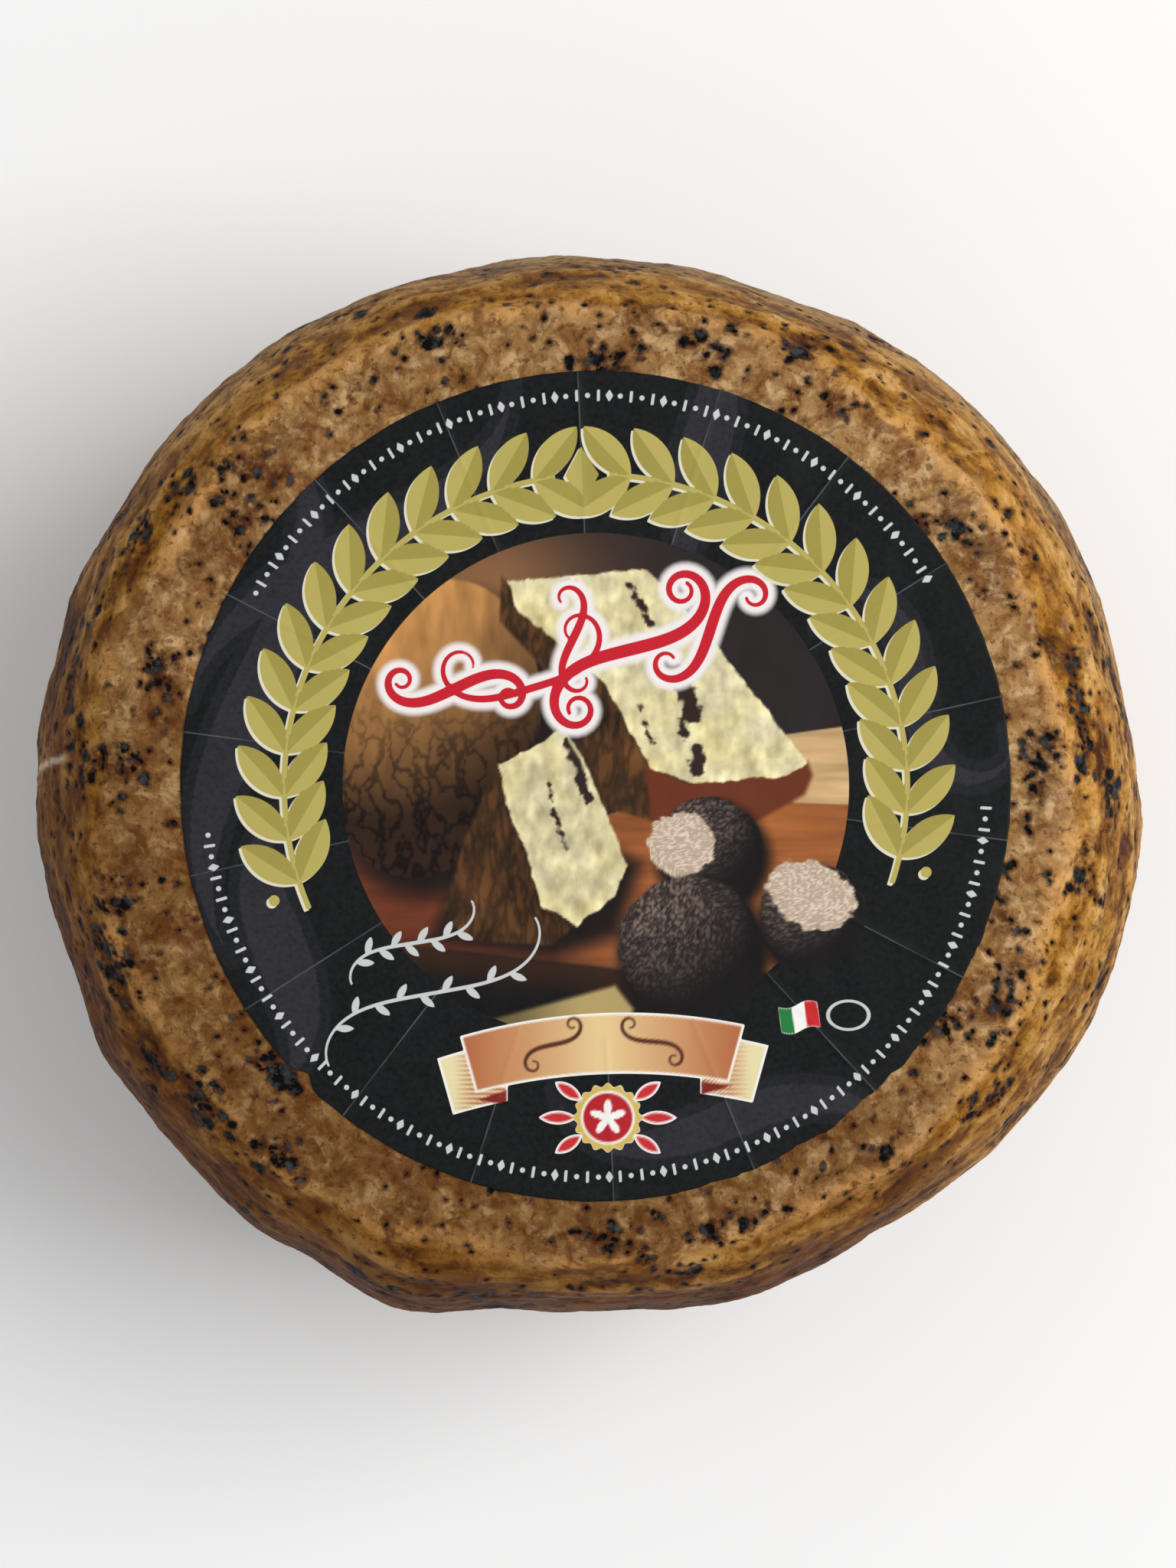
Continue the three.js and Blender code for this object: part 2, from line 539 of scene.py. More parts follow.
def unwrap_rind(quads, fans, radius, paths, rise):
    """Two strips for the halves of the heel and side, and beside them a disc for each face."""
    along = rise.cumsum()
    strip = np.flatnonzero(paths > -FACE_RADIUS + UV_DISC)
    bottom_ring, top_ring = strip[0], strip[-1]
    tall = along[top_ring] - along[bottom_ring]
    wide = math.pi * SIDE_RADIUS
    margin = 4.0
    square = max(2 * tall + 3 * margin, wide + 2 * UV_DISC + 3 * margin)

    corner_ring, corner_column = quads // COLUMNS, quads % COLUMNS
    wraps = corner_column.max(axis=1) - corner_column.min(axis=1) > 1
    corner_column = corner_column + np.where(wraps[:, None] & (corner_column == 0), COLUMNS, 0)
    half = corner_column.min(axis=1, keepdims=True) // (COLUMNS // 2)
    u = (corner_column - half * (COLUMNS // 2)) / (COLUMNS // 2) * wide + margin
    v = along[corner_ring] - along[bottom_ring] + half * (tall + margin) + margin
    quad_uv = np.stack([u, v], axis=2)

    def on_disc(ring, column, disc_v, scale):
        out, turn = radius[ring] * scale, column / COLUMNS * 2 * math.pi
        disc_u = wide + 2 * margin + UV_DISC
        return np.stack([disc_u + out * np.cos(turn), disc_v + out * np.sin(turn)], axis=-1)

    in_bottom = corner_ring.max(axis=1) <= bottom_ring
    in_top = corner_ring.min(axis=1) >= top_ring
    bottom_fan, top_fan = np.split(fans % COLUMNS, 2)
    low_v, high_v = UV_DISC + margin, square - margin - UV_DISC
    fan_uv = []
    for chosen, fan, ring, disc_v, scale in (
        (in_bottom, bottom_fan, 0, low_v, 1.0),
        (in_top, top_fan, -1, high_v, TOP_UV_SCALE),
    ):
        quad_uv[chosen] = on_disc(corner_ring[chosen], corner_column[chosen], disc_v, scale)
        fan_uv.append(on_disc(ring, fan, disc_v, scale * (np.arange(3) > 0)))
    return np.concatenate([part.reshape(-1, 2) for part in (quad_uv, *fan_uv)]) / square


def lay_rind_ground(shader, mottle):
    """The rind's colour: streaky and golden on the side, paler and curdled on the face, and paler on the
    crest of the heel, partly wear and partly a painted highlight, with painted shade and a painted pale
    sheen."""
    face = shader.number("face")
    side = shader.ramp(
        shader.plus(mottle, shader.times(shader.number("streak"), 0.24)),
        (0.26, 66, 34, 10),
        (0.42, 134, 86, 26),
        (0.55, 172, 122, 48),
        (0.74, 206, 162, 98),
    )
    top = shader.ramp(
        mottle,
        (0.27, 86, 48, 24),
        (0.42, 140, 98, 54),
        (0.56, 168, 130, 82),
        (0.74, 212, 178, 130),
    )
    shader.layers = shader.mix(face, side, top)
    # paler on the crest of the heel: partly wear, partly a painted highlight
    worn = shader.times(shader.number("crest"), shader.step(mottle, 0.36, 0.54, 0.2, 0.85))
    shader.cover(worn, (212, 158, 94))
    pale = shader.step(shader.noise(3.6, 4, 0.6, warp=0.5), 0.52, 0.66)
    shader.cover(shader.times(pale, shader.step(face, 0.1, 0.8, 0.15, 0.6)), (216, 180, 134))
    # painted shade multiplied in towards the lower left
    shader.cover(shader.number("painted_shade"), (148, 122, 72), 0.9, "MULTIPLY")
    # painted sheen: a pale greyish veil over the upper right side
    painted_sheen = shader.times(shader.number("painted_sheen"), shader.step(mottle, 0.3, 0.6, 0.25, 0.6))
    shader.cover(painted_sheen, (146, 126, 98))


def lay_rind_stains(shader, fine):
    """Brown stains, broad ones that spread further where shade is painted, painted shade in the bottoms of
    the wrinkles on the face, and fine brown specks.
    """
    # broad brown stains, which spread further where shade is painted
    cloud = shader.plus(shader.noise(10, 5, 0.62, warp=0.8), shader.times(shader.number("painted_shade"), 0.063))
    shader.cover(shader.step(cloud, 0.53, 0.66), (84, 42, 13), 0.62)
    # painted shade in the bottoms of the wrinkles on the face
    crease_shade = shader.times(shader.step(shader.number("wrinkle"), 0.55, 0.95), shader.number("face"))
    shader.cover(crease_shade, (92, 50, 20), 0.4)
    shader.cover(shader.step(fine, 0.55, 0.66), (70, 34, 12), 0.6)


def lay_truffle(shader, fine):
    """Nearly black spots with a reddish brown rim and painted slate-grey glints, in a brown blot around each
    cluster.
    """
    blot = shader.times(shader.step(shader.number("blot"), -1.6, 1.2), shader.step(fine, 0.34, 0.56))
    shader.cover(blot, (66, 30, 18), 0.7)
    ragged = shader.times(shader.math("SUBTRACT", fine, 0.5), 1.6)
    spot = shader.plus(shader.number("spot"), ragged)
    shader.cover(shader.step(spot, -1.0, -0.05), (58, 26, 14), 0.75)
    # the grey end of this ramp is a painted glint on the truffle spots
    truffle_and_glint = shader.ramp(shader.noise(2.2, 3), (0.48, 12, 9, 9), (0.70, 64, 66, 68))
    shader.cover(shader.step(spot, -0.2, 0.1), truffle_and_glint)


def rind_material():
    shader = Shader("rind")
    mottle = shader.noise(4.8, 8, 0.68, warp=0.4)
    fine = shader.noise(1.5, 4, 0.65)
    lay_rind_ground(shader, mottle)
    lay_rind_stains(shader, fine)
    lay_truffle(shader, fine)
    crack = shader.times(shader.number("crack"), shader.step(fine, 0.35, 0.55, 0.4, 1.0))
    shader.cover(crack, (206, 190, 166))
    relief = shader.plus(shader.times(mottle, 0.6), fine)
    shader.set(
        Base_Color=shader.layers,
        Roughness=shader.plus(0.4, shader.times(fine, 0.3)),
        Specular_IOR_Level=0.02,
        Normal=shader.bump(relief, 0.45, 0.9),
        Coat_Weight=0.05,
        Coat_Roughness=0.2,
    )
    return shader.material


# ---- drawing on the label
#
# Printed shapes are drawn in the label's own millimetres: (across, up) from its centre. A shape's
# depth says how far inside its edge each point of the label is, and is negative outside it.

LABEL_GRID = 480  # points along a side of the square grid that is bent into the label's disc
SLITS = 18
SLIT_TURN = 12.5  # degrees
PICTURE_RADIUS = 46.0
WREATH_RADIUS = 56.6
WREATH_TOP = 92.5  # degrees, where the two branches meet
BORDER_RADIUS = 71.0
BORDER_STEP = math.radians(1.6)  # from mark to mark


def local(points, centre, turn=0.0):
    """Points as seen from centre, along and across a direction turned by turn degrees."""
    angle = math.radians(turn)
    x, y = points[:, 0] - centre[0], points[:, 1] - centre[1]
    return x * math.cos(angle) + y * math.sin(angle), y * math.cos(angle) - x * math.sin(angle)


def on_circle(radius, turn):
    return radius * math.cos(math.radians(turn)), radius * math.sin(math.radians(turn))


def polar(points):
    """Each point's distance from the label's centre, and its turn in radians."""
    across, up = points.T
    return np.hypot(across, up), np.arctan2(up, across)


def disc_depth(points, centre, radius):
    return radius - np.hypot(points[:, 0] - centre[0], points[:, 1] - centre[1])


def oval_depth(points, centre, half_width, half_height, turn=0.0):
    along, across = local(points, centre, turn)
    return (1 - np.hypot(along / half_width, across / half_height)) * min(half_width, half_height)


def leaf_depth(along, across, length, width):
    """A leaf with two pointed ends, from along 0 to length."""
    bow = (length**2 / 4 + width**2 / 4) / width
    return bow - np.hypot(np.abs(across) + bow - width / 2, along - length / 2)


def outline_depth(points, corners):
    """A closed shape with straight sides."""
    nearest = np.full(len(points), np.inf)
    inside = np.zeros(len(points), bool)
    for start, end in zip(corners, (*corners[1:], corners[0])):
        side = np.subtract(end, start)
        reach = points - start
        share = np.clip(reach @ side / (side @ side), 0, 1)
        nearest = np.minimum(nearest, np.hypot(*(reach - share[:, None] * side).T))
        crosses = (points[:, 1] > start[1]) != (points[:, 1] > end[1])
        if side[1]:
            inside ^= crosses & (reach[:, 0] < side[0] * reach[:, 1] / side[1])
    return np.where(inside, nearest, -nearest)


def stroke_depth(points, path, half_widths, reach=4.0):
    """A pen stroke along a path, with its own half width at each place."""
    depth = np.full(len(points), -reach)
    low, high = path.min(axis=0) - reach, path.max(axis=0) + reach
    close = np.flatnonzero(((points > low) & (points < high)).all(axis=1))
    near = points[close]
    found = depth[close]
    for start, end, first, last in zip(path[:-1], path[1:], half_widths[:-1], half_widths[1:]):
        side = end - start
        share = np.clip((near - start) @ side / (side @ side), 0, 1)
        away = np.hypot(*(near - start - share[:, None] * side).T)
        found = np.maximum(found, first + share * (last - first) - away)
    depth[close] = found
    return depth


def scroll(centre, length, turn, curl, same_way=False, sharpness=2.6, steps=90):
    """The path of a pen flourish that rolls up at both ends, to opposite sides or the same side."""
    share = np.linspace(-1, 1, steps)
    rolled = np.abs(share) ** sharpness * curl
    heading = math.radians(turn) + (rolled * np.sign(share) if same_way else rolled)
    path = np.stack([np.cos(heading), np.sin(heading)], axis=1).cumsum(axis=0) * length / steps
    return path - path[steps // 2] + centre


def pen_depth(points, path, thin, thick, reach=4.0):
    """A pen stroke that swells in its middle, with its half widths at its ends and there."""
    share = np.linspace(-1, 1, len(path))
    return stroke_depth(points, path, thin + (thick - thin) * (1 - share**2) ** 1.5, reach)


class Ink:
    """Colours laid over each other at the label's points, as 0 to 255."""

    def __init__(self, points, colour):
        self.points = points
        self.colour = np.tile(np.array(colour, float), (len(points), 1))

    def lay(self, depth, colour, soft=0.2):
        """Covers what is inside a shape. colour may differ from point to point."""
        self.colour += smooth(depth, -soft, soft)[:, None] * (np.array(colour) - self.colour)

    def patch(self, corners, colour, soft=0.2):
        """Covers a shape with straight sides."""
        self.lay(outline_depth(self.points, corners), colour, soft)


def grain(points, size, seed, stretch=(1, 1), octaves=3):
    """Flat noise over the label."""
    flat = np.column_stack([points * stretch, np.zeros(len(points))])
    return fractal(flat, size, SEED + seed, octaves)


# ---- the label's gold and white print


def wreath(points):
    """Gold branches that climb on both sides and meet at the top: their depth, and which half of
    its leaf each point is on."""
    depth = np.full(len(points), -4.0)
    half = np.zeros(len(points))
    pairs, first, step = 13, 9.0, 8.05

    def add(chosen, found, side):
        better = chosen[found > depth[chosen]]
        half[better] = side[found > depth[chosen]]
        depth[better] = found[found > depth[chosen]]

    for hand in (-1, 1):
        for number in range(pairs):
            turn = WREATH_TOP + hand * (first + number * step)
            root = on_circle(WREATH_RADIUS, turn)
            close = np.flatnonzero((np.abs(points - root) < 17).all(axis=1))
            for splay in (-1, 1):
                along, across = local(points[close], root, turn - hand * 90 + splay * 40)
                add(close, leaf_depth(along, across, 12.6, 5.6), across * splay)
            berry = on_circle(WREATH_RADIUS + 5.4, turn + hand * 1.5)
            add(close, disc_depth(points[close], berry, 1.0), np.ones(len(close)))

    everywhere = np.arange(len(points))
    radius, turn = polar(points)
    away = np.abs((np.degrees(turn) - WREATH_TOP + 180) % 360 - 180)
    within = np.minimum(pairs * step + first - 3 - away, away - 5) * math.radians(WREATH_RADIUS)
    stem = np.minimum(0.5 - np.abs(radius - WREATH_RADIUS), within)
    add(everywhere, stem, np.ones(len(points)))
    along, across = local(points, on_circle(WREATH_RADIUS, WREATH_TOP), WREATH_TOP)
    add(everywhere, (5.2 - np.abs(along) - np.abs(across) * 1.7) / 2, across)
    return depth, half


def border(points):
    """Beads and bars around the rim, in an arc above and an arc below."""
    radius, turn = polar(points)
    number = np.round(turn / BORDER_STEP)
    along = (turn - number * BORDER_STEP) * radius
    outward = radius - BORDER_RADIUS
    bead = 0.48 - np.hypot(along, outward)
    bar = np.minimum(0.27 - np.abs(along), 1.05 - np.abs(outward))
    diamond = (1.15 - np.abs(along) * 1.6 - np.abs(outward)) / 1.8
    kind = number % 5
    depth = np.where(kind == 0, diamond, np.where(kind % 2 == 1, bar, bead))
    above = (number >= 20) & (number <= 94)
    below = (number <= -2) & (number >= -108)
    return np.where(above | below, depth, -2.0)


def sprig(points, centre, turn, length):
    """A slender white stem with small leaves on alternate sides and a curled tip."""
    stem = scroll(centre, length, turn, 1.9, sharpness=3)
    steps = len(stem)
    depth = pen_depth(points, stem, 0.2, 0.34)
    for number, place in enumerate(range(steps // 7, steps - steps // 6, steps // 12)):
        side = 1 if number % 2 else -1
        direction = stem[place + 1] - stem[place]
        heading = math.degrees(math.atan2(direction[1], direction[0])) + side * 48
        along, across = local(points, stem[place], heading)
        depth = np.maximum(depth, leaf_depth(along, across, 3.4, 1.3))
    return depth


def flourish(points):
    """The red pen flourish across the upper part of the picture."""
    strokes = (
        (scroll((-25, 18), 50, 26, -8.0), 0.3, 1.0),
        (scroll((7, 25), 74, 14, 8.4), 0.35, 1.15),
        (scroll((-11, 18), 58, 17, 5.4, same_way=True), 0.25, 0.7),
        (scroll((21, 29), 44, 72, -5.6), 0.3, 1.0),
        (scroll((-4, 27), 30, 64, 4.2), 0.25, 0.75),
    )
    return np.max([pen_depth(points, *stroke) for stroke in strokes], axis=0)


def white_print(points):
    sprigs = np.maximum(sprig(points, (-33, -28.5), 9, 31), sprig(points, (-29, -37.5), 10, 54))
    ring = 0.24 - np.abs(oval_depth(points, (45.9, -41.6), 3.7, 2.6))
    return np.max([border(points), sprigs, ring], axis=0)


def swoosh(points):
    """How much of the faint grey bands shows on the black ground."""
    bands = (
        ((-60, 20), 110, 64, 1.2, 6.0),
        ((-42, 44), 90, 26, 1.0, 5.0),
        ((20, 62), 60, 74, 0.8, 5.5),
        ((58, 16), 70, -84, 3.4, 3.6),
        ((-58, -28), 60, 112, -1.4, 6.0),
        ((26, -60), 80, 22, -2.0, 4.5),
    )
    depths = []
    for centre, length, turn, curl, wide in bands:
        path = scroll(centre, length, turn, curl, sharpness=2, steps=30)
        depths.append(pen_depth(points, path, 0.8, wide, 8))
    return smooth(np.max(depths, axis=0), -0.4, 0.6)


# ---- the label's ribbon, seal and flag

WHITE = (240, 238, 232)
CREAM = (226, 214, 168)
PALE_GOLD = (226, 196, 142)
COPPER = (172, 95, 58)
DEEP_RED = (124, 36, 28)
PEN_BROWN = (84, 44, 32)

RIBBON_MIDDLE = 1.1
RIBBON_REACH = 25.6  # half of its width
RIBBON_HALF_HEIGHT = 5.55
TAIL_DROP = 2.8  # how far the ribbon's tails hang below its body
# the corners of the two dark folds, from the outer one
RIBBON_FOLDS = (
    ((-21.6, -57.0), (-16.2, -55.2), (-16.2, -57.9)),
    ((24.6, -54.4), (19.2, -53.6), (19.2, -56.1)),
)
# (middle, turn, curl) of the scrolls on the ribbon
RIBBON_SCROLLS = (((-7.5, -46.9), 12, 6.5), ((10.5, -46.4), -4, -6.5))
SEAL_CENTRE = (2.2, -60.2)
SEAL_LEAVES = ((7.0, 0), (6.0, 34), (6.0, -34))  # (length, splay) on each side
FLAG_CENTRE = (37.0, -42.0)


def ribbon_shape(points, across_from, across_to, drop):
    """A strip along the ribbon's arch, dropped by some millimetres. Its ends lean inwards."""
    across, up = points.T
    share = (across - RIBBON_MIDDLE) / RIBBON_REACH
    above = up - (-46.75 - 3.1 * share**2 + 1.07 * share - drop)
    lean = 0.26 * (RIBBON_HALF_HEIGHT - above)
    ends = np.minimum(across - across_from - lean, across_to - lean - across)
    return np.minimum(RIBBON_HALF_HEIGHT - np.abs(above), ends)


def paint_ribbon(ink):
    """A copper ribbon with folded tails, and its depth."""
    points = ink.points
    across, up = points.T
    from_middle = np.abs(across - RIBBON_MIDDLE)
    left_tail = np.minimum(ribbon_shape(points, -28.8, 0, TAIL_DROP), -16.0 - across)
    right_tail = np.minimum(ribbon_shape(points, 0, 31.4, TAIL_DROP), across - 19.0)
    tails = np.maximum(left_tail, right_tail)
    hatch = 0.5 + 0.5 * np.sin(up * 2 * math.pi / 0.85)
    near_fold = smooth(from_middle, RIBBON_REACH + 2, RIBBON_REACH - 3)
    ink.lay(tails - 0.4, CREAM + np.subtract(COPPER, CREAM) * (hatch * near_fold)[:, None])
    for corners in RIBBON_FOLDS:
        ink.patch(corners, DEEP_RED)

    body = ribbon_shape(points, -24.7, 27.1, 0.0)
    sheen = (1.05 - from_middle / RIBBON_REACH).clip(0, 1)
    ink.lay(body, WHITE)
    ink.lay(body - 0.45, COPPER + np.subtract(PALE_GOLD, COPPER) * sheen[:, None])
    for middle, turn, curl in RIBBON_SCROLLS:
        ink.lay(pen_depth(points, scroll(middle, 24, turn, curl), 0.16, 0.42), PEN_BROWN)
    return np.maximum(tails, body)


def paint_seal(ink):
    """A round seal with a star, between two sprays of leaves, and its depth."""
    sprays = np.full(len(ink.points), -4.0)
    for side in (0, 180):
        for length, splay in SEAL_LEAVES:
            along, across = local(ink.points, SEAL_CENTRE, side + splay)
            sprays = np.maximum(sprays, leaf_depth(along - 5.6, across, length, 2.5))
    ink.lay(sprays, WHITE)
    ink.lay(sprays - 0.4, (196, 44, 48))

    along, across = local(ink.points, SEAL_CENTRE)
    turn = np.arctan2(across, along)
    away = np.hypot(along, across)
    seal = 6.0 + 0.35 * np.cos(16 * turn) - away
    star = 2.2 + 1.15 * np.cos(5 * (turn - math.pi / 2)) - away
    ink.lay(seal, (205, 178, 96))
    ink.lay(4.9 - away, WHITE)
    ink.lay(4.45 - away, (176, 32, 40))
    ink.lay(star, WHITE)
    return np.maximum(sprays, seal)


def paint_flag(ink):
    """A small waving flag of three plain stripes, and its depth."""
    along, across = local(ink.points, FLAG_CENTRE, 8)
    wave = across - 0.45 * np.sin(along * 0.9)
    flag = np.minimum(3.6 - np.abs(along), 2.4 - np.abs(wave))
    ink.lay(flag, WHITE, 0.1)
    ink.lay(np.minimum(flag, -1.2 - along), (34, 120, 62), 0.1)
    ink.lay(np.minimum(flag, along - 1.2), (196, 36, 42), 0.1)
    return flag


def paint_overlay(points):
    """What is printed over everything else, and its depth."""
    ink = Ink(points, WHITE)
    return ink, np.max([paint_ribbon(ink), paint_seal(ink), paint_flag(ink)], axis=0)


# ---- the label's still life


def lit_ball(points, centre, radius):
    """How brightly a ball would be lit from the upper left at each point."""
    x, y = (points[:, 0] - centre[0]) / radius, (points[:, 1] - centre[1]) / radius
    toward = np.sqrt((1 - x**2 - y**2).clip(0))
    return (-0.45 * x + 0.6 * y + 0.66 * toward).clip(0)


# (centre, radius) of the truffles, from the back to the front
TRUFFLES = (((20.7, -11.7), 9.6), ((39.2, -23.8), 9.6), ((17.1, -29.2), 13.0))
PASTE = (208, 199, 160)
BROWN_RIND = (142, 90, 46)


def paint_truffle(ink, centre, radius):
    points = ink.points
    lump = grain(points, 4.5, 210, octaves=2)
    wart = np.abs(grain(points, 1.1, 220, octaves=2)).clip(0, 0.5)
    light = lit_ball(points, centre, radius) * (0.2 + 2.0 * wart)
    ink.lay(disc_depth(points, np.add(centre, (0.8, -1.6)), radius + 0.6), (18, 12, 10), 2.0)
    ink.lay(disc_depth(points, centre, radius) + 0.8 * lump, (17, 14, 15) + np.outer(light, (92, 78, 68)))


def paint_cut_truffle(ink, centre, half_width, half_height, turn):
    """The pale marbled flesh of a truffle that is cut open."""
    points = ink.points
    vein = smooth(np.abs(grain(points, 1.1, 230)), 0.2, 0.03)
    ragged = 1.1 * grain(points, 3.0, 235)
    flesh = (182, 160, 140) + np.outer(vein, (42, 44, 44))
    ink.lay(oval_depth(points, centre, half_width, half_height, turn) + ragged, flesh)


def paint_paste(ink, corners, light, veins):
    """A cut face of pale cheese with a crumbly surface and dark truffle veins."""
    points = ink.points
    crumb = grain(points, 3.2, 240, (1.2, 0.8), octaves=4)
    across = grain(points, 9, 245)
    depth = outline_depth(points, corners) + 0.4 * crumb
    tint = np.outer(0.4 + across, (0, -4, -16))
    ink.lay(depth, np.outer(light + 0.2 * crumb + 0.06 * smooth(depth, 3, 0), PASTE) + tint)
    for path, wide in veins:
        path = np.array(path, float)
        vein = stroke_depth(points, path, np.full(len(path), wide)) + 1.1 * grain(points, 2.0, 250)
        ink.lay(np.minimum(vein, depth - 0.6), (44, 30, 26), 0.35)


def paint_rind_side(ink, corners):
    """A brown, cross-marked side of a cheese."""
    weave = np.abs(grain(ink.points, 3.4, 260, (1.6, 0.5))).clip(0, 0.5)
    shade = 0.55 + 0.9 * weave + 0.35 * grain(ink.points, 9, 265, octaves=2)
    ink.patch(corners, np.outer(0.62 * shade, BROWN_RIND), 0.4)


def paint_whole_cheese(ink):
    points = ink.points
    up = points[:, 1]
    centre, turn = (-30.0, 10.5), -14
    ball = lit_ball(points, (-29, 20), 33) * (1 + 0.22 * grain(points, 6, 275, (1.8, 0.6)))
    hatch = smooth(np.abs(grain(points, 4.6, 280, (1.3, 0.8), octaves=4)), 0.26, 0.02) * smooth(up, 22, 2)
    skin = (46, 28, 16) + np.outer(ball, (172, 128, 72)) - np.outer(hatch * (0.5 + 0.5 * ball), (62, 46, 28))
    ink.lay(oval_depth(points, np.add(centre, (2, -3)), 20, 28, turn), (24, 15, 12), 2.5)
    ink.lay(oval_depth(points, centre, 19.5, 27.5, turn), skin)


def paint_half_cheese(ink):
    side = ((-17.1, 38.1), (1, 20), (11, 3), (11, -6.5), (-2, -3), (-4, 12), (-10, 22), (-17.5, 30))
    under = ((9, 4), (17, 0.5), (38.5, 4.5), (39.4, 2), (38, -1.5), (29, -6.5), (18, -8), (10, -6))
    face = (
        (-16, 37.2), (9.5, 39.5), (19.6, 28.6), (38.5, 4.2), (35, 1.8), (17, 0.5), (10, 3.3), (1.4, 18.9),
        (-14, 31.7),
    )
    veins = (
        (((12.6, 22.6), (16.2, 18), (17.6, 13)), 1.7),
        (((15.6, 11.5), (16.4, 9)), 0.8),
        (((18.6, 6.4), (18.2, 2.8)), 1.1),
        (((-5.5, 37.6), (-2.6, 33.6)), 0.6),
        (((6.2, 36.4), (10.4, 29.2)), 0.5),
        (((8, 14), (10, 8)), 0.25),
    )
    paint_rind_side(ink, side)
    ink.patch(under, (104, 48, 26), 0.6)
    paint_paste(ink, face, 1.02, veins)


def paint_wedge(ink):
    side = ((-17.8, 4), (-9.9, -21.7), (-3.5, -25.2), (-8, -29), (-22.8, -28), (-28, -23.8), (-24, -10))
    face = (
        (-17.8, 4), (-12, 6.5), (-5.7, 11.1), (-2.8, 6.1), (2, -5), (5.7, -14.5), (3.5, -20), (-3.5, -25.2),
        (-9.9, -21.7), (-12.5, -12), (-15.6, -5.3),
    )
    veins = (
        (((-5, 8.5), (-2.8, 3), (-1.4, -2.5)), 0.8),
        (((-9, 3), (-7.4, -5), (-5.4, -11)), 0.2),
    )
    shadow = ((-18, 0), (8, -14), (4, -27), (-8, -31), (-30, -28))
    ink.patch(shadow, (24, 15, 12), 2.5)
    paint_rind_side(ink, side)
    paint_paste(ink, face, 0.98, veins)


def paint_board(ink):
    plank = 1 + 0.16 * grain(ink.points, 5, 270, (0.25, 2.4))
    top = ((-50, -10), (-20, -13), (20, 1), (50, 4), (50, -34), (10, -34), (-50, -27))
    front = ((-50, -27), (10, -34), (50, -34), (50, -39), (8, -39), (-50, -31))
    pale = ((24, 8), (50, 11.5), (50, -3.5), (36, -3))
    wood = (104, 50, 30) + np.outer(smooth(ink.points[:, 0], -30, 20), (50, 40, 16))
    ink.patch(top, wood * plank[:, None])
    ink.patch(front, (58, 34, 22), 0.8)
    ink.patch(pale, np.outer(plank, (200, 164, 116)))


def paint_picture(points):
    """A still life: a whole cheese, a cut half, a wedge and truffles on a wooden board."""
    across, up = points.T
    ink = Ink(points, (38, 31, 32))
    glow = np.exp(-(((across + 20) / 20) ** 2) - ((up - 38) / 12) ** 2)
    ink.colour += np.outer(glow, (96, 62, 28))
    paint_board(ink)
    paint_whole_cheese(ink)
    paint_half_cheese(ink)
    paint_wedge(ink)
    back, right, front = TRUFFLES
    paint_truffle(ink, *back)
    paint_cut_truffle(ink, (15.8, -10.6), 6.0, 6.2, 20)
    paint_truffle(ink, *right)
    paint_cut_truffle(ink, (39.0, -19.6), 8.4, 5.8, -28)
    ink.colour *= 1 - 0.75 * smooth(up + 0.1 * across, -29, -45)[:, None]
    table = ((-19, -42.4), (3.5, -36.2), (7, -40.5), (4, -46), (-16, -46))
    ink.patch(table, np.outer(0.6 + 0.4 * smooth(across, -17, -2), (176, 154, 100)), 0.6)
    paint_truffle(ink, *front)
    return ink


def picture_depth(points):
    """The picture is round, and its truffles stand out of it."""
    shapes = [disc_depth(points, (0, 0), PICTURE_RADIUS)]
    for centre, radius in TRUFFLES[1:]:
        shapes.append(disc_depth(points, centre, radius) + 0.8 * grain(points, 4.5, 210, octaves=2))
    return np.max(shapes, axis=0)


# ---- the label's mesh


def disc_grid(count):
    """Evenly spread points of a disc of radius 1, as a square grid bent into a circle."""
    side = np.linspace(-1, 1, count)
    first, second = np.meshgrid(side, side, indexing="ij")
    wide = np.abs(first) > np.abs(second)
    radius = np.where(wide, first, second)
    share = np.where(wide, second, first) / radius
    turn = math.pi / 4 * np.where(wide, share, 2 - share)
    return np.stack([radius * np.cos(turn), radius * np.sin(turn)], axis=2)


def rim_loop(count):
    """The indexes of a square grid's edge, once around to the left."""
    index = np.arange(count * count).reshape(count, count)
    return np.concatenate([index[:-1, 0], index[-1, :-1], index[:0:-1, -1], index[0, :0:-1]])


def label_points():
    """The label's flat points. Its edge is slightly worn, most at the lower right, and dented
    where a truffle lump stands in it."""
    points = disc_grid(LABEL_GRID).reshape(-1, 2) * LABEL_RADIUS
    radius, turn = polar(points)
    worn = smooth(np.cos(turn - math.radians(-48)), 0.8, 0.97)
    rim = np.stack([np.cos(turn), np.sin(turn)], axis=1) * LABEL_RADIUS
    ragged = (grain(rim, 5.0, 300) - 0.6).clip(-1.4, 0) * (0.12 + 0.45 * worn)
    ragged -= 1.5 * np.exp(-(((np.degrees(turn) + 360 - LUMP_TURN) / 1.3) ** 2))
    return points * (1 + ragged / LABEL_RADIUS * smooth(radius, LABEL_RADIUS - 5, LABEL_RADIUS))[:, None]


def from_slit(points):
    """How far each point is from the nearest slit, to one side or the other."""
    radius, turn = polar(points)
    waves = SLITS / 2
    return np.sin(waves * (turn - math.radians(SLIT_TURN))) * radius / waves


def label_surface(points):
    """The upper side's points in space. It follows the uneven wheel and lifts along the slits."""
    at_height = [np.full(len(points), height) for height in (LABEL_HIGH[2], WHEEL_HIGH[2])]
    places, under = [np.column_stack([points + LABEL_CENTRE, height]) for height in at_height]
    cut = np.hypot(*points.T) > PICTURE_RADIUS
    lifted = 0.10 * np.exp(-((from_slit(points) / 0.6) ** 2)) * cut + 0.03 * grain(points, 6, 310)
    places[:, 2] += unevenness(under) + lifted
    return places


